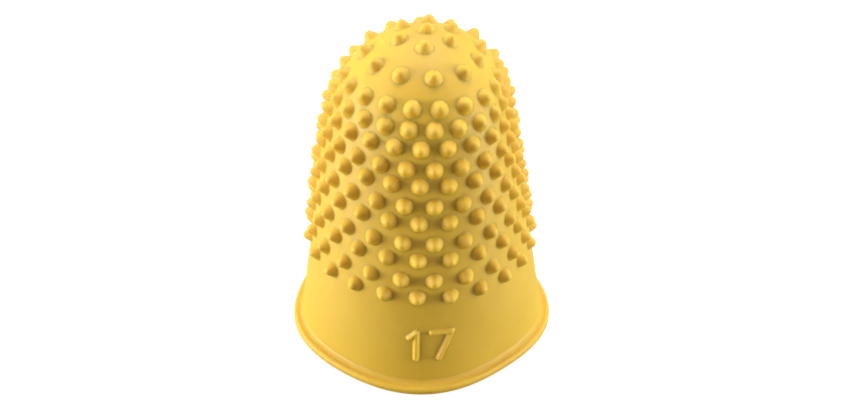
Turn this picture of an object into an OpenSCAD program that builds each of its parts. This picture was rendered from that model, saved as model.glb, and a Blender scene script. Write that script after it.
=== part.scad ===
// Rubber fingertip for turning paper: a tapered sleeve, open at the bottom and closed by a round
// crown, with a lip around its mouth and staggered rings of blunt grip nubs.
// Millimetres, +Z up. The origin is the centre of the mouth, on the plane that the lip stands on.
// The front, where turns are counted from, faces -Y.

/* [Sleeve] */
// Height from the mouth to the top of the crown, without its nub
height = 28.1; // [22:0.1:40]
// Outer diameter of the wall at the mouth, where the lip starts
mouth_diameter = 23.4; // [17:0.02:30]
// Outer diameter of the wall where the crown begins
shoulder_diameter = 15.72; // [12:0.02:21]
// Lean of the wall where the crown begins, in degrees from upright
shoulder_lean = 14.3; // [6:0.1:24]
// Thickness of the rubber
wall_thickness = 1.1; // [0.7:0.05:1.8]
// Bevel around the inside of the mouth
mouth_bevel = 0.3; // [0.1:0.05:0.6]

/* [Lip] */
// Reach of the lip beyond the wall
lip_reach = 0.8; // [0.6:0.01:2.5]
// Height of the lip's outer edge
lip_height = 0.66; // [0.4:0.02:1.2]
// Radius of the hollow between the lip and the wall
lip_hollow_radius = 0.5; // [0.4:0.05:1]

/* [Nub shape] */
// Diameter of a nub where it leaves the rubber
nub_diameter = 1.44; // [1:0.02:1.8]
// Height of a nub
nub_height = 0.84; // [0.4:0.02:1.2]
// Radius of the blunt end of a nub
nub_tip_radius = 0.3; // [0.15:0.05:0.35]

/* [Nubs on the wall] */
// Nubs in each row
nubs_per_row = 24; // [12:1:26]
// Share of the wall's height that stays smooth above the mouth
smooth_share = 0.42; // [0.25:0.002:0.6]
// Drop of the top row below the start of the crown
top_row_drop = 0.14; // [0:0.02:1]
// How much the rows close up towards the crown
row_crowding = 0.09; // [0:0.01:0.2]
// Drop of every second row from the middle between its neighbours
row_pairing = 0.17; // [0:0.01:0.3]
// Turn of the lowest row from the front, in degrees
row_turn = -1.9; // [-15:0.1:15]

/* [Nubs on the crown] */
// Angle of the first ring above the level of the crown's centre
ring_1_angle = 23.6; // [21:0.1:24]
// Angle of the second ring
ring_2_angle = 34.8; // [33:0.1:38]
// Nubs in the second ring
ring_2_nubs = 20; // [8:1:22]
// Turn of the second ring
ring_2_turn = -8.6; // [-18:0.1:18]
// Angle of the third ring
ring_3_angle = 52.4; // [48:0.1:56]
// Nubs in the third ring
ring_3_nubs = 12; // [6:1:14]
// Turn of the third ring
ring_3_turn = 6.8; // [-30:0.1:30]
// Angle of the fourth ring
ring_4_angle = 72.7; // [70:0.1:74]
// Nubs in the fourth ring
ring_4_nubs = 6; // [3:1:7]
// Turn of the fourth ring
ring_4_turn = -4; // [-60:0.1:60]

/* [Hidden] */
$fn = 240;
nub_facets = 60;
rubber = [0.93, 0.72, 0.24];
wall_rows = 9;

mouth_radius = mouth_diameter / 2;
shoulder_radius = shoulder_diameter / 2;
rim_radius = mouth_radius + lip_reach;

// The crown is part of a ball that carries on the lean of the wall.
crown_radius = shoulder_radius / cos(shoulder_lean);
crown_centre = height - crown_radius;
shoulder_height = crown_centre + crown_radius * sin(shoulder_lean);
inner_crown_radius = crown_radius - wall_thickness;
inner_shoulder_radius = sqrt(inner_crown_radius ^ 2 - (shoulder_height - crown_centre) ^ 2);

// The lip's edge is a little rounder than a half circle would leave it flat.
lip_edge_radius = 0.65 * lip_height;
hollow_offset = 0.9 * lip_hollow_radius;
hollow_level = lip_height + hollow_offset;
hollow_reach = wall_radius(hollow_level) + hollow_offset;
hollow_margin = 0.2 * lip_hollow_radius;

// The flank of a nub meets its round tip without an edge. Its root runs on into the rubber.
nub_radius = nub_diameter / 2;
tip_level = nub_height - nub_tip_radius;
tip_lean = acos(nub_tip_radius / norm([nub_radius, tip_level])) - atan2(tip_level, nub_radius);
tip_edge_radius = nub_tip_radius * cos(tip_lean);
tip_edge_level = tip_level + nub_tip_radius * sin(tip_lean);
nub_root = 0.3;
nub_root_radius = nub_radius + nub_root * tan(tip_lean);

row_pitch = 360 / nubs_per_row;
first_row_level = smooth_share * shoulder_height;
row_span = shoulder_height - top_row_drop - first_row_level;

row_names = [for (row = [1 : wall_rows]) str("nub_row_", row)];
ring_names = [for (ring = [1 : 4]) str("crown_ring_", ring)];

// The wall bows out a little between the mouth and the shoulder.
function wall_radius(level) =
    let (down = shoulder_height - level)
    let (slope = tan(shoulder_lean))
    let (bow = mouth_radius - shoulder_radius - slope * shoulder_height)
    shoulder_radius + slope * down + bow * (down / shoulder_height) ^ 2;

// The rubber is measured level in the wall and square to the face in the crown.
function bore_radius(level) =
    let (shoulder_wall = shoulder_radius - inner_shoulder_radius)
    wall_radius(level) - wall_thickness - (shoulder_wall - wall_thickness) * level / shoulder_height;

function wall_lean(level) =
    let (step = 0.01)
    atan2(wall_radius(level - step) - wall_radius(level + step), 2 * step);

// Rows count upwards from the mouth. Every second one sits a little low and half a pitch round.
function row_level(row) =
    let (share = (row - 1) / (wall_rows - 1))
    first_row_level + row_span * (share + row_crowding * share * (1 - share))
        - (row % 2 == 0 ? row_pairing : 0);

function row_start(row) = row_turn + (row % 2 == 0 ? row_pitch / 2 : 0);

// The wall is a stack of cones whose edges lie between the pairs of rows, clear of every nub.
skirt_level = first_row_level - 0.6 * nub_diameter;
pair_edges = [for (row = [2 : 2 : wall_rows - 1]) (row_level(row) + row_level(row + 1)) / 2];
band_levels = concat([0, skirt_level / 3, skirt_level * 2 / 3, skirt_level], pair_edges, [shoulder_height]);
top_band = len(band_levels) - 1;

wall_line = [for (level = band_levels) [wall_radius(level), level]];
bore_line = [for (band = [top_band : -1 : 1]) [bore_radius(band_levels[band]), band_levels[band]]];
mouth_line = [[bore_radius(mouth_bevel), mouth_bevel], [bore_radius(0) + mouth_bevel, 0]];

module wall_section() {
    polygon(concat(wall_line, bore_line, mouth_line));
}

// Everything inside the outer face of the wall, up to the shoulder.
module wall_fill() {
    polygon(concat([[0, 0]], wall_line, [[0, shoulder_height]]));
}

module above_shoulder() {
    translate([0, shoulder_height])
        square(crown_radius);
}

module crown_section() {
    intersection() {
        translate([0, crown_centre])
            difference() {
                circle(crown_radius);
                circle(inner_crown_radius);
            }
        above_shoulder();
    }
}

module crown_fill() {
    intersection() {
        translate([0, crown_centre])
            circle(crown_radius);
        above_shoulder();
    }
}

module lip_edge() {
    intersection() {
        square([rim_radius, lip_height]);
        union() {
            square([rim_radius - lip_edge_radius, lip_height]);
            translate([rim_radius - lip_edge_radius, lip_height / 2])
                circle(lip_edge_radius);
        }
    }
}

module lip_hollow() {
    difference() {
        translate([0, lip_height])
            square([hollow_reach - hollow_margin, hollow_offset - hollow_margin]);
        translate([hollow_reach, hollow_level])
            circle(lip_hollow_radius);
    }
}

module nub_section() {
    polygon([
        [0, -nub_root],
        [nub_root_radius, -nub_root],
        [tip_edge_radius, tip_edge_level],
        [0, tip_edge_level]
    ]);
    intersection() {
        translate([0, tip_level])
            circle(nub_tip_radius);
        translate([0, tip_edge_level])
            square(nub_tip_radius);
    }
}

module nub() {
    rotate_extrude($fn = nub_facets)
        nub_section();
}

module solid_form() {
    rotate_extrude()
        union() {
            wall_fill();
            crown_fill();
        }
}

// A nub that stands square to the rubber at the front, cut off where the rubber begins.
module seated_nub(radius, level, lean) {
    difference() {
        translate([0, -radius, level])
            rotate([90 - lean, 0, 0])
                nub();
        solid_form();
    }
}

module nub_ring(count, turn, radius, level, lean) {
    for (index = [0 : count - 1])
        rotate([0, 0, turn + index * 360 / count])
            seated_nub(radius, level, lean);
}

module sleeve_wall() {
    color(rubber)
        rotate_extrude()
            wall_section();
}

module crown() {
    color(rubber)
        rotate_extrude()
            crown_section();
}

module rim_lip() {
    color(rubber)
        rotate_extrude()
            difference() {
                union() {
                    lip_edge();
                    lip_hollow();
                }
                wall_fill();
            }
}

module nub_row(row) {
    level = row_level(row);
    color(rubber)
        nub_ring(nubs_per_row, row_start(row), wall_radius(level), level, wall_lean(level));
}

module crown_ring(count, turn, angle) {
    level = crown_centre + crown_radius * sin(angle);
    color(rubber)
        nub_ring(count, turn, crown_radius * cos(angle), level, angle);
}

module crown_tip_nub() {
    color(rubber)
        nub_ring(1, 0, 0, height, 90);
}

sleeve_wall();
crown();
rim_lip();
for (row = [1 : wall_rows])
    nub_row(row);
crown_ring(nubs_per_row, row_start(wall_rows + 1), ring_1_angle);  // crown_ring_1
crown_ring(ring_2_nubs, ring_2_turn, ring_2_angle);  // crown_ring_2
crown_ring(ring_3_nubs, ring_3_turn, ring_3_angle);  // crown_ring_3
crown_ring(ring_4_nubs, ring_4_turn, ring_4_angle);  // crown_ring_4
crown_tip_nub();
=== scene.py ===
"""Rubber fingertip with grip nubs, dressed over its CAD frame and lit as a studio picture."""
import math

import bpy
import numpy as np
from mathutils import Matrix


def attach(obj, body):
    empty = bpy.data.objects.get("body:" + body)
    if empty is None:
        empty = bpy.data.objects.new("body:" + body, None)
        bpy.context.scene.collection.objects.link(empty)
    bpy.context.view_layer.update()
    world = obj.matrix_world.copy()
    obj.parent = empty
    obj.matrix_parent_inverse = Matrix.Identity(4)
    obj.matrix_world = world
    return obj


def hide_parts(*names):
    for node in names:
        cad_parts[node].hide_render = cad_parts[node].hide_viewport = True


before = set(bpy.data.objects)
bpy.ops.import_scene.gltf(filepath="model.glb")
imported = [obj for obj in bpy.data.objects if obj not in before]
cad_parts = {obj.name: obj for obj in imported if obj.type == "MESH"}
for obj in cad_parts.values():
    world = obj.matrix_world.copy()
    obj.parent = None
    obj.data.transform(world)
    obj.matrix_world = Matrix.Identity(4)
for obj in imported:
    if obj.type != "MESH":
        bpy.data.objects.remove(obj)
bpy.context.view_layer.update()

# Lengths are in millimetres. Turns are in degrees from the front, -Y, towards +X.
MM = 0.001

# Sizes of the moulding, as in the CAD
HEIGHT = 28.1
MOUTH_RADIUS = 11.7
SHOULDER_RADIUS = 7.86
SHOULDER_LEAN = math.radians(14.3)
WALL = 1.1
MOUTH_BEVEL = 0.3
LIP_REACH = 0.8
LIP_HEIGHT = 0.66
LIP_HOLLOW = 0.5

# Nubs, rounder and a little lower than in the CAD
# Radius above the hollow foot, and radius of the round tip.
NUB_RADIUS = 0.66
NUB_TIP = 0.4
# Radius of the small hollow in which the foot of a nub runs out into the rubber.
NUB_HOLLOW = 0.15
# How far each nub runs on into the rubber, where it can't be seen.
NUB_ROOT = 0.6
# How far the flank of a nub faces up its axis, below the tip and above the hollow.
FLANK_TOP = math.radians(40)
FLANK_FOOT = math.radians(24)
# Height of the nubs on the crown, as a share of the height of those on the wall.
CROWN_NUB_SHARE = 0.82

# Rows of nubs on the wall, placed as in the CAD
NUBS_PER_ROW = 24
WALL_ROWS = 9
SMOOTH_SHARE = 0.42
TOP_ROW_DROP = 0.14
ROW_CROWDING = 0.09
ROW_PAIRING = 0.17
ROW_TURN = -1.9
ROW_PITCH = 360 / NUBS_PER_ROW

# Crown rings, from the shoulder up: nubs, turn of the first one and angle above the crown's centre.
CROWN_RINGS = (
    (NUBS_PER_ROW, ROW_TURN + ROW_PITCH / 2, 23.6),
    (20, -8.6, 34.8),
    (12, 6.8, 52.4),
    (6, -4.0, 72.7),
)

# Sizes that follow from those above
CROWN_RADIUS = SHOULDER_RADIUS / math.cos(SHOULDER_LEAN)
CROWN_CENTRE = HEIGHT - CROWN_RADIUS
SHOULDER = CROWN_CENTRE + CROWN_RADIUS * math.sin(SHOULDER_LEAN)
INNER_CROWN = CROWN_RADIUS - WALL
INNER_SHOULDER = math.sqrt(INNER_CROWN ** 2 - (SHOULDER - CROWN_CENTRE) ** 2)
RIM_RADIUS = MOUTH_RADIUS + LIP_REACH
SLOPE = math.tan(SHOULDER_LEAN)
BOW = MOUTH_RADIUS - SHOULDER_RADIUS - SLOPE * SHOULDER
FIRST_ROW = SMOOTH_SHARE * SHOULDER
ROW_SPAN = SHOULDER - TOP_ROW_DROP - FIRST_ROW

# Soft rubber stands a little out of round. Waves around the mouth: count, turn of a crest, push.
MOUTH_WAVES = (
    (1, -153, 0.24),
    (2, 1, 0.48),
    (3, -53, 0.33),
    (4, 0, 0.14),
    (5, 4, 0.18),
)
# Push on one side: turn and width in degrees, then the push.
SIDE_PUSH = (84, 34.4, -1.1)
# Push on the skirt: level and spread up the wall, turn and width in degrees, then the push.
SKIRT_PUSH = (9.0, 6.0, -88, 34.4, -0.34)

# Points around the sleeve and around each nub.
SEGMENTS = 192
NUB_SEGMENTS = 22
# Pieces that stand on the rubber reach this far into it.
SINK = 0.004
# A radius below this counts as a point on the axis.
TINY = 1e-9


def wall_radius(level):
    """The wall leans in from the mouth to the shoulder, with a slight bow."""
    down = SHOULDER - level
    return SHOULDER_RADIUS + SLOPE * down + BOW * (down / SHOULDER) ** 2


def wall_slope(level):
    """How fast the wall's radius changes with height."""
    return -SLOPE - 2 * BOW * (SHOULDER - level) / SHOULDER ** 2


def bore_radius(level):
    return wall_radius(level) - WALL - (SHOULDER_RADIUS - INNER_SHOULDER - WALL) * level / SHOULDER


def row_level(row):
    """Rows count upwards from the mouth, and every second one sits a little low."""
    share = (row - 1) / (WALL_ROWS - 1)
    level = FIRST_ROW + ROW_SPAN * (share + ROW_CROWDING * share * (1 - share))
    return level - (ROW_PAIRING if row % 2 == 0 else 0)


# Soft rubber
def bell(turn, middle, width):
    """1 at the middle turn, falling smoothly towards 0 on both sides."""
    away = (turn - middle + 180) % 360 - 180
    return np.exp(-(away / width) ** 2)


def soften(points):
    """Moves points in and out as the soft rubber stands.

    The waves at the mouth fade towards the crown. The push on the side is deepest two thirds of the way
    up, and the push on the skirt is a shallow dip.
    """
    # Short of the top, where the skin's radius runs out.
    highest = 0.99 * HEIGHT
    # Brings the side's rise and fall to 1 where the push is deepest.
    full = 1.5 * math.sqrt(3)
    turn = np.degrees(np.arctan2(points[:, 0], -points[:, 1]))
    level = np.clip(points[:, 2], 0, highest)
    cap = np.sqrt(np.maximum(CROWN_RADIUS ** 2 - (level - CROWN_CENTRE) ** 2, 0))
    skin = np.where(level < SHOULDER, wall_radius(level), cap)
    fade = np.clip(1 - level / SHOULDER, 0, 1) ** 2
    push = np.zeros(len(points))
    for count, crest, most in MOUTH_WAVES:
        push += most * np.cos(np.radians(count * (turn - crest))) * fade
    middle, width, most = SIDE_PUSH
    share = level / HEIGHT
    push += most * bell(turn, middle, width) * full * share * np.sqrt(1 - share)
    height, spread, middle, width, most = SKIRT_PUSH
    push += most * bell(turn, middle, width) * np.exp(-((level - height) / spread) ** 2)
    moved = points.copy()
    moved[:, :2] *= (1 + push / skin)[:, None]
    return moved


def soften_both(points, normals):
    """Moved points, with the normals turned by the same move."""
    step = 1e-4
    sides = []
    for axis in np.eye(3):
        ahead, behind = soften(points + step * axis), soften(points - step * axis)
        sides.append((ahead - behind) / (2 * step))
    jacobian = np.stack(sides, axis=2)
    turned = np.linalg.solve(np.transpose(jacobian, (0, 2, 1)), normals[:, :, None])[:, :, 0]
    return soften(points), turned / np.linalg.norm(turned, axis=1)[:, None]


# Meshes
def add_piece(name, points, normals, faces, nodes=()):
    """One piece of the object, in the CAD frame, with its own smooth normals."""
    points, normals = soften_both(np.asarray(points), np.asarray(normals))
    mesh = bpy.data.meshes.new(name)
    mesh.from_pydata((points * MM).tolist(), [], faces)
    mesh.polygons.foreach_set("use_smooth", [True] * len(mesh.polygons))
    mesh.update()
    mesh.normals_split_custom_set_from_vertices(normals.tolist())
    piece = bpy.data.objects.new(name, mesh)
    bpy.context.scene.collection.objects.link(piece)
    mesh.materials.append(rubber)
    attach(piece, "root")
    if nodes:
        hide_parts(*nodes)


def revolve(profile):
    """Points, normals and faces of a ring swept from rows of (radius, level, lean of the normal).

    The profile runs so that the surface's outside is on its right. A row of radius 0 becomes one point.
    """
    angles = 2 * math.pi * np.arange(SEGMENTS) / SEGMENTS
    points, normals, rows = [], [], []
    for radius, level, lean in profile:
        start = len(points)
        if radius < TINY:
            points.append((0, 0, level))
            normals.append((0, 0, math.sin(lean)))
            rows.append([start] * SEGMENTS)
            continue
        for angle in angles:
            x, y = math.sin(angle), -math.cos(angle)
            points.append((radius * x, radius * y, level))
            normals.append((math.cos(lean) * x, math.cos(lean) * y, math.sin(lean)))
        rows.append(list(range(start, start + SEGMENTS)))
    faces = []
    for lower, upper in zip(rows, rows[1:]):
        for here in range(SEGMENTS):
            following = (here + 1) % SEGMENTS
            face = [lower[here], lower[following], upper[following], upper[here]]
            # Corners that are the same point count once.
            faces.append(tuple(dict.fromkeys(face)))
    return points, normals, faces


def arc(centre_radius, centre_level, radius, start, end, count, hollow=False):
    """Rows along an arc; the normal points away from its centre, or towards it for a hollow."""
    rows = []
    for angle in np.linspace(start, end, count):
        out = centre_radius + radius * math.cos(angle)
        level = centre_level + radius * math.sin(angle)
        rows.append((out, level, angle + math.pi if hollow else angle))
    return rows


# Rubber
def make_rubber():
    material = bpy.data.materials.new("moulded_yellow_rubber")
    material.use_nodes = True
    nodes, links = material.node_tree.nodes, material.node_tree.links
    shader = nodes["Principled BSDF"]
    shader.inputs["Specular IOR Level"].default_value = 0.95
    # Light that spreads a little under the skin.
    shader.inputs["Subsurface Weight"].default_value = 1.0
    shader.inputs["Subsurface Radius"].default_value = (1.0, 0.93, 0.6)
    shader.inputs["Subsurface Scale"].default_value = 0.4 * MM

    place = nodes.new("ShaderNodeTexCoord")
    scale = nodes.new("ShaderNodeMapping")
    scale.inputs["Scale"].default_value = (1 / MM, 1 / MM, 1 / MM)
    links.new(place.outputs["Object"], scale.inputs["Vector"])

    def noise(per_mm, detail, roughness):
        node = nodes.new("ShaderNodeTexNoise")
        node.inputs["Scale"].default_value = per_mm
        node.inputs["Detail"].default_value = detail
        node.inputs["Roughness"].default_value = roughness
        links.new(scale.outputs["Vector"], node.inputs["Vector"])
        return node.outputs["Fac"]

    def ramp(source, stops):
        node = nodes.new("ShaderNodeValToRGB")
        for element, (position, colour) in zip(node.color_ramp.elements, stops):
            element.position = position
            element.color = (*colour, 1)
        links.new(source, node.inputs["Fac"])
        return node.outputs["Color"]

    def bump(source, strength, depth, below=None):
        node = nodes.new("ShaderNodeBump")
        node.inputs["Strength"].default_value = strength
        node.inputs["Distance"].default_value = depth * MM
        links.new(source, node.inputs["Height"])
        if below:
            links.new(below, node.inputs["Normal"])
        return node.outputs["Normal"]

    # Pigment clouds a few millimetres across.
    pigment = noise(per_mm=0.22, detail=3, roughness=0.5)
    clouds = ramp(pigment, [(0.3, (0.79, 0.50, 0.012)), (0.7, (0.83, 0.53, 0.018))])
    links.new(clouds, shader.inputs["Base Color"])

    # Talc and handling leave the sheen uneven.
    sheen = nodes.new("ShaderNodeMapRange")
    sheen.inputs["To Min"].default_value = 0.54
    sheen.inputs["To Max"].default_value = 0.7
    links.new(noise(per_mm=1.1, detail=4, roughness=0.6), sheen.inputs["Value"])
    links.new(sheen.outputs["Result"], shader.inputs["Roughness"])

    # The grain of the mould, over slow waves in the skin.
    waves = bump(noise(per_mm=0.8, detail=2, roughness=0.5), strength=0.25, depth=0.06)
    grain = bump(noise(per_mm=9, detail=3, roughness=0.6), strength=0.12, depth=0.02, below=waves)
    links.new(grain, shader.inputs["Normal"])
    return material


rubber = make_rubber()


# Sleeve, crown and lip
def make_sleeve():
    corner = 0.12
    rows = []
    for level in np.linspace(SHOULDER, corner, num=56):
        rows.append((wall_radius(level), level, math.atan(-wall_slope(level))))
    rows += arc(MOUTH_RADIUS - corner, corner, corner, 0, -math.pi / 2, count=4)
    mouth = bore_radius(MOUTH_BEVEL) + MOUTH_BEVEL
    rows += arc(mouth, MOUTH_BEVEL, MOUTH_BEVEL, -math.pi / 2, -math.pi, count=6)
    for level in np.linspace(MOUTH_BEVEL, SHOULDER, num=40)[1:]:
        rows.append((bore_radius(level), level, math.pi + math.atan(-wall_slope(level))))
    add_piece("sleeve", *revolve(rows[::-1]), nodes=["sleeve_wall"])


def make_crown():
    inner_lean = math.atan2(SHOULDER - CROWN_CENTRE, INNER_SHOULDER)
    outside = arc(0, CROWN_CENTRE, CROWN_RADIUS, SHOULDER_LEAN, math.pi / 2, count=26)
    inside = arc(0, CROWN_CENTRE, INNER_CROWN, math.pi / 2, inner_lean, count=18, hollow=True)
    points, normals, faces = revolve(outside)
    more_points, more_normals, more_faces = revolve(inside)
    faces += [tuple(corner + len(points) for corner in face) for face in more_faces]
    add_piece("crown_cap", points + more_points, normals + more_normals, faces, nodes=["crown"])


def make_lip():
    """The lip's flat foot, its rounded edge and the hollow that runs up into the wall."""
    # Radii of the edge at the foot and at the top, and the foot's reach in under the wall.
    foot, edge, overlap = 0.2, 0.3, 0.06
    # The hollow ends this angle before upright, just inside the face of the leaning wall.
    short = 0.06
    top = LIP_HOLLOW + LIP_HEIGHT
    hollow_centre = wall_radius(top) + LIP_HOLLOW
    rows = [(MOUTH_RADIUS - overlap, 0.0, -math.pi / 2)]
    rows += arc(RIM_RADIUS - foot, foot, foot, -math.pi / 2, 0, count=6)
    rows += arc(RIM_RADIUS - edge, LIP_HEIGHT - edge, edge, 0, math.pi / 2, count=8)
    rows += arc(hollow_centre, top, LIP_HOLLOW, -math.pi / 2, -math.pi + short, count=12, hollow=True)
    add_piece("mouth_lip", *revolve(rows), nodes=["rim_lip"])


make_sleeve()
make_crown()
make_lip()


# Nubs
def surface(points):
    """Distance outside the rubber, and its outward direction, for points near it."""
    ring = np.maximum(np.hypot(points[:, 0], points[:, 1]), TINY)
    wall = np.stack([points[:, 0] / ring, points[:, 1] / ring, -wall_slope(points[:, 2])], 1)
    ball = points - (0, 0, CROWN_CENTRE)
    reach = np.linalg.norm(ball, axis=1)
    on_wall = points[:, 2] < SHOULDER
    gap = np.where(on_wall, ring - wall_radius(points[:, 2]), reach - CROWN_RADIUS)
    slope = np.where(on_wall[:, None], wall, ball / reach[:, None])
    return gap, slope


def drop(points, axis):
    """Points moved along the axis until they lie on the rubber, with the rubber's normals."""
    rounds = 6
    points = points.copy()
    for _ in range(rounds):
        gap, slope = surface(points)
        points -= (gap / (slope @ axis))[:, None] * axis
    slope = surface(points)[1]
    return points, slope / np.linalg.norm(slope, axis=1)[:, None]


def nub_outline():
    """The height of a nub, and rows of (radius, height, steepness) down it.

    The rows follow its round tip, its bowed flank and then its hollow foot.
    """
    foot_level = NUB_HOLLOW * (1 - math.sin(FLANK_FOOT))
    foot_radius = NUB_RADIUS + NUB_HOLLOW * math.cos(FLANK_FOOT)
    flank_reach = NUB_RADIUS - NUB_TIP * math.cos(FLANK_TOP)
    flank = flank_reach / (math.cos(FLANK_FOOT) - math.cos(FLANK_TOP))
    flank_level = foot_level - flank * math.sin(FLANK_FOOT)
    tip_level = flank_level + (flank - NUB_TIP) * math.sin(FLANK_TOP)
    rows = []
    for angle in np.linspace(math.pi / 2, FLANK_TOP, num=6)[1:]:
        radius = NUB_TIP * math.cos(angle)
        rows.append((radius, tip_level + NUB_TIP * math.sin(angle), -1 / math.tan(angle)))
    for angle in np.linspace(FLANK_TOP, FLANK_FOOT, num=6)[1:]:
        radius = NUB_RADIUS - flank * (math.cos(FLANK_FOOT) - math.cos(angle))
        rows.append((radius, flank_level + flank * math.sin(angle), -1 / math.tan(angle)))
    for angle in np.linspace(FLANK_FOOT, math.pi / 2, num=5)[1:]:
        radius = foot_radius - NUB_HOLLOW * math.cos(angle)
        rows.append((radius, NUB_HOLLOW * (1 - math.sin(angle)), -1 / math.tan(angle)))
    return tip_level + NUB_TIP, rows


NUB_HEIGHT, OUTLINE = nub_outline()


def make_nubs(name, node, places, height_share=1.0):
    """All the nubs of one row, each at (turn, radius, level, lean), no two quite alike."""
    uneven, tip_slack = 0.04, 0.035
    rng = np.random.RandomState(sum(ord(letter) for letter in name))
    spin = 2 * math.pi * np.arange(NUB_SEGMENTS) / NUB_SEGMENTS
    points, normals, faces = [], [], []
    for turn, radius, level, lean in places:
        turn, lean = math.radians(turn), math.radians(lean)
        across = np.array([math.cos(turn), math.sin(turn), 0])
        axis = np.array([math.cos(lean) * math.sin(turn), -math.cos(lean) * math.cos(turn), math.sin(lean)])
        up = np.cross(axis, across)
        ray = np.cos(spin)[:, None] * across + np.sin(spin)[:, None] * up
        seat = np.array([radius * math.sin(turn), -radius * math.cos(turn), level])
        tall = height_share * (1 + uneven * rng.uniform(-1, 1))
        sideways, upwards = tip_slack * rng.uniform(-1, 1, 2)
        lean_over = sideways * across + upwards * up
        tip = len(points)
        points.append(seat + tall * NUB_HEIGHT * axis + lean_over)
        normals.append(axis)
        for out, height, steep in OUTLINE:
            ground, skin = drop(seat + out * ray, axis)
            lifted = ground + (tall * height - SINK) * axis + height / NUB_HEIGHT * lean_over
            facing = skin / (skin @ axis)[:, None] - tall * steep * ray
            points += list(lifted)
            normals += list(facing / np.linalg.norm(facing, axis=1)[:, None])
        points += list(lifted - NUB_ROOT * axis)
        normals += list(ray)
        first = tip + 1
        root = first + len(OUTLINE) * NUB_SEGMENTS
        for here in range(NUB_SEGMENTS):
            following = (here + 1) % NUB_SEGMENTS
            faces.append((tip, first + here, first + following))
            for upper in range(first, root, NUB_SEGMENTS):
                lower = upper + NUB_SEGMENTS
                faces.append((upper + here, lower + here, lower + following, upper + following))
        faces.append(tuple(range(root, root + NUB_SEGMENTS)))
    add_piece(name, points, normals, faces, nodes=[node])


def wall_places(row):
    level = row_level(row)
    lean = math.degrees(math.atan(-wall_slope(level)))
    start = ROW_TURN + (ROW_PITCH / 2 if row % 2 == 0 else 0)
    return [(start + ROW_PITCH * index, wall_radius(level), level, lean) for index in range(NUBS_PER_ROW)]


def crown_places(count, turn, angle):
    bend = math.radians(angle)
    radius, level = CROWN_RADIUS * math.cos(bend), CROWN_CENTRE + CROWN_RADIUS * math.sin(bend)
    return [(turn + 360 * index / count, radius, level, angle) for index in range(count)]


for row in range(1, WALL_ROWS + 1):
    make_nubs("nubs_wall_%d" % row, "nub_row_%d" % row, wall_places(row))
for number, ring in enumerate(CROWN_RINGS, 1):
    make_nubs("nubs_crown_%d" % number, "crown_ring_%d" % number, crown_places(*ring), CROWN_NUB_SHARE)
make_nubs("nub_crown_tip", "crown_tip_nub", [(0, 0, HEIGHT, 90)], CROWN_NUB_SHARE)


# Plain raised size number
def make_number():
    """The bore in millimetres, as two plain raised digits on the front of the skirt."""
    # Corners of the strokes, across and up from the number's middle.
    strokes = [
        [(-1.75, 0.75), (-1.15, 1.3), (-1.15, -1.3)],
        [(0.15, 1.3), (1.85, 1.3), (0.75, -1.3)],
    ]
    middle_turn, middle_level = math.radians(4.0), 4.55
    half_width, half_height = 2.4, 1.9
    # Half the width of a stroke, half the width of its rounded side, and its height.
    half, edge, high = 0.2, 0.14, 0.3
    step = 0.05
    margin = 1.5 * step
    across = np.arange(-half_width, half_width + step, step)
    rise = np.arange(-half_height, half_height + step, step)
    grid_u, grid_v = np.meshgrid(across, rise)

    def distance(u, v):
        """From places across and up the skirt to the nearest stroke."""
        best = np.full(u.shape, half_width)
        for line in strokes:
            for (x0, y0), (x1, y1) in zip(line, line[1:]):
                along = (u - x0) * (x1 - x0) + (v - y0) * (y1 - y0)
                share = np.clip(along / ((x1 - x0) ** 2 + (y1 - y0) ** 2), 0, 1)
                best = np.minimum(best, np.hypot(u - x0 - share * (x1 - x0), v - y0 - share * (y1 - y0)))
        return best

    def place(u, v):
        """Points of the raised strokes, with their feet just under the skirt's face."""
        share = np.clip((half + edge - distance(u, v)) / (2 * edge), 0, 1)
        lift = high * share * share * (3 - 2 * share) - SINK
        level = middle_level + v
        turn = middle_turn + u / wall_radius(middle_level)
        out = wall_radius(level) + lift
        return np.stack([out * np.sin(turn), -out * np.cos(turn), level - wall_slope(level) * lift], -1)

    nudge = 0.004
    along_u = place(grid_u + nudge, grid_v) - place(grid_u - nudge, grid_v)
    along_v = place(grid_u, grid_v + nudge) - place(grid_u, grid_v - nudge)
    normals = np.cross(along_u, along_v)
    normals /= np.linalg.norm(normals, axis=2)[:, :, None]
    near = distance(grid_u, grid_v) < half + edge + margin
    index = -np.ones(near.shape, int)
    index[near] = np.arange(near.sum())
    faces = []
    for below, above in zip(index, index[1:]):
        for left in range(len(below) - 1):
            right = left + 1
            face = (below[left], below[right], above[right], above[left])
            if min(face) >= 0:
                faces.append(tuple(int(corner) for corner in face))
    add_piece("size_number", place(grid_u, grid_v)[near], normals[near], faces)


make_number()


# Floor, light and camera
# The floor lies a hair below the lip's foot, so that their faces don't coincide.
FLOOR_LEVEL = -0.02
FLOOR_REACH = 1000
PAPER = 0.24
PAPER_GLOW = 0.86
ROOM_LEVEL = 0.22
LAMP_DISTANCE = 250
# Lamps: name, turn, lift in degrees, width, height and level.
LAMPS = (
    ("left_strip", -77, 3, 140, 50, 0.92),
    ("left_softbox", -90, 45, 140, 140, 0.25),
    ("right_strip", 77, 3, 140, 50, 0.65),
    ("right_softbox", 90, 45, 140, 140, 0.25),
    ("top_softbox", 180, 74, 160, 160, 0.66),
)

scene = bpy.context.scene
scene.view_settings.view_transform = "Standard"


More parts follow.
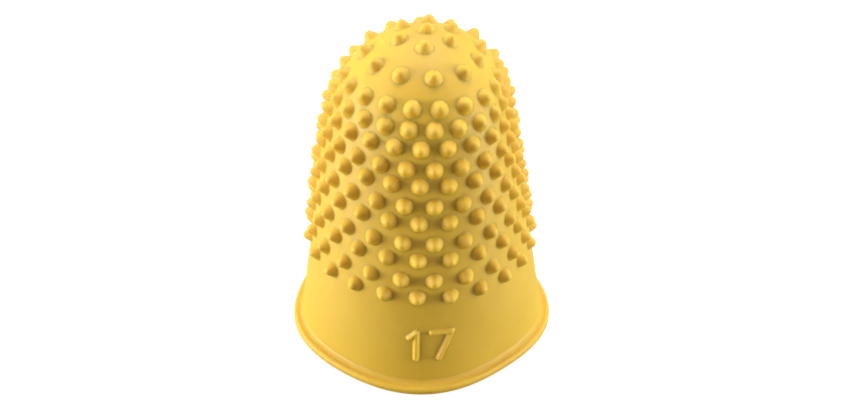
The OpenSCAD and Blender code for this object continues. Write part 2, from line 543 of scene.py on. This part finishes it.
def white_rays(nodes, links, place, start, end):
    """How much of the white sweep a ray sees, from 0 to 1.

    Rays from the camera see it everywhere. Rays off gloss or through clear things see it where it stands
    behind the object, coming in from start to end along +Y, and a dim room in front.
    """
    path = nodes.new("ShaderNodeLightPath")
    parts = nodes.new("ShaderNodeSeparateXYZ")
    links.new(place, parts.inputs["Vector"])
    behind = nodes.new("ShaderNodeMapRange")
    behind.inputs["From Min"].default_value = start
    behind.inputs["From Max"].default_value = end
    links.new(parts.outputs["Y"], behind.inputs["Value"])

    def join(operation, first, second):
        node = nodes.new("ShaderNodeMath")
        node.operation = operation
        links.new(first, node.inputs[0])
        links.new(second, node.inputs[1])
        return node.outputs[0]

    passed_on = join("MAXIMUM", path.outputs["Is Glossy Ray"], path.outputs["Is Transmission Ray"])
    there = join("MULTIPLY", passed_on, behind.outputs["Result"])
    return join("MAXIMUM", path.outputs["Is Camera Ray"], there)


def make_floor():
    """White paper that glows for the rays that see the white sweep."""
    level, reach = FLOOR_LEVEL * MM, FLOOR_REACH * MM
    corners = [(x * reach, y * reach, level) for x, y in ((-1, -1), (1, -1), (1, 1), (-1, 1))]
    mesh = bpy.data.meshes.new("floor")
    mesh.from_pydata(corners, [], [(0, 1, 2, 3)])
    floor = bpy.data.objects.new("floor", mesh)
    scene.collection.objects.link(floor)
    material = bpy.data.materials.new("white_sweep")
    material.use_nodes = True
    nodes, links = material.node_tree.nodes, material.node_tree.links
    nodes.remove(nodes["Principled BSDF"])
    paper = nodes.new("ShaderNodeBsdfDiffuse")
    paper.inputs["Color"].default_value = (PAPER, PAPER, PAPER, 1)
    glow = nodes.new("ShaderNodeEmission")
    glow.inputs["Strength"].default_value = PAPER_GLOW
    both = nodes.new("ShaderNodeAddShader")
    place = nodes.new("ShaderNodeNewGeometry")
    pick = nodes.new("ShaderNodeMixShader")
    links.new(paper.outputs["BSDF"], both.inputs[0])
    links.new(glow.outputs["Emission"], both.inputs[1])
    seen = white_rays(nodes, links, place.outputs["Position"], start=-10 * MM, end=30 * MM)
    links.new(seen, pick.inputs["Fac"])
    links.new(paper.outputs["BSDF"], pick.inputs[1])
    links.new(both.outputs["Shader"], pick.inputs[2])
    links.new(pick.outputs["Shader"], nodes["Material Output"].inputs["Surface"])
    mesh.materials.append(material)


def make_world():
    """An even dim room, and white for the rays that see the white sweep."""
    world = bpy.data.worlds.new("studio")
    scene.world = world
    world.use_nodes = True
    nodes, links = world.node_tree.nodes, world.node_tree.links
    soft = nodes["Background"]
    soft.inputs["Color"].default_value = (1, 1, 1, 1)
    soft.inputs["Strength"].default_value = ROOM_LEVEL
    white = nodes.new("ShaderNodeBackground")
    white.inputs["Color"].default_value = (1, 1, 1, 1)
    white.inputs["Strength"].default_value = 1
    pick = nodes.new("ShaderNodeMixShader")
    way = nodes.new("ShaderNodeTexCoord")
    seen = white_rays(nodes, links, way.outputs["Generated"], start=-0.2, end=0.4)
    links.new(seen, pick.inputs["Fac"])
    links.new(soft.outputs["Background"], pick.inputs[1])
    links.new(white.outputs["Background"], pick.inputs[2])
    links.new(pick.outputs["Shader"], nodes["World Output"].inputs["Surface"])


def add_lamp(name, turn, lift, width, height, level):
    """An area lamp that faces the object, with its power worked out from its level and distance."""
    turn, lift = math.radians(turn), math.radians(lift)
    distance = LAMP_DISTANCE * MM
    out = np.array([math.sin(turn) * math.cos(lift), -math.cos(turn) * math.cos(lift), math.sin(lift)])
    lamp = bpy.data.lights.new(name, "AREA")
    lamp.shape = "RECTANGLE"
    lamp.size, lamp.size_y = width * MM, height * MM
    lamp.energy = level * (math.pi * distance) ** 2
    across = np.array([math.cos(turn), math.sin(turn), 0])
    up = np.cross(out, across)
    holder = bpy.data.objects.new(name, lamp)
    turned = Matrix(np.stack([across, up, out], 1).tolist()).to_4x4()
    middle = np.array([0, 0, HEIGHT / 2 * MM])
    holder.matrix_world = Matrix.Translation((middle + out * distance).tolist()) @ turned
    scene.collection.objects.link(holder)


def make_camera():
    """The photograph's view: a close camera, a little rolled, that looks down at the front."""
    lift, roll, distance = math.radians(35.653), math.radians(1.14), 80.0
    target = np.array([0, 0, 11.04])
    forward = np.array([0, math.cos(lift), -math.sin(lift)])
    right = np.array([1.0, 0, 0])
    up = np.cross(right, forward)
    tilted_right = right * math.cos(roll) + up * math.sin(roll)
    tilted_up = up * math.cos(roll) - right * math.sin(roll)
    lens = bpy.data.cameras.new("camera")
    lens.sensor_width = 36
    lens.lens = 37.197
    lens.shift_x = 0.00422
    lens.clip_start = MM
    camera = bpy.data.objects.new("camera", lens)
    axes = Matrix(np.stack([tilted_right, tilted_up, -forward], 1).tolist()).to_4x4()
    camera.matrix_world = Matrix.Translation(((target - forward * distance) * MM).tolist()) @ axes
    scene.collection.objects.link(camera)
    scene.camera = camera


make_floor()
make_world()
for lamp in LAMPS:
    add_lamp(*lamp)
make_camera()
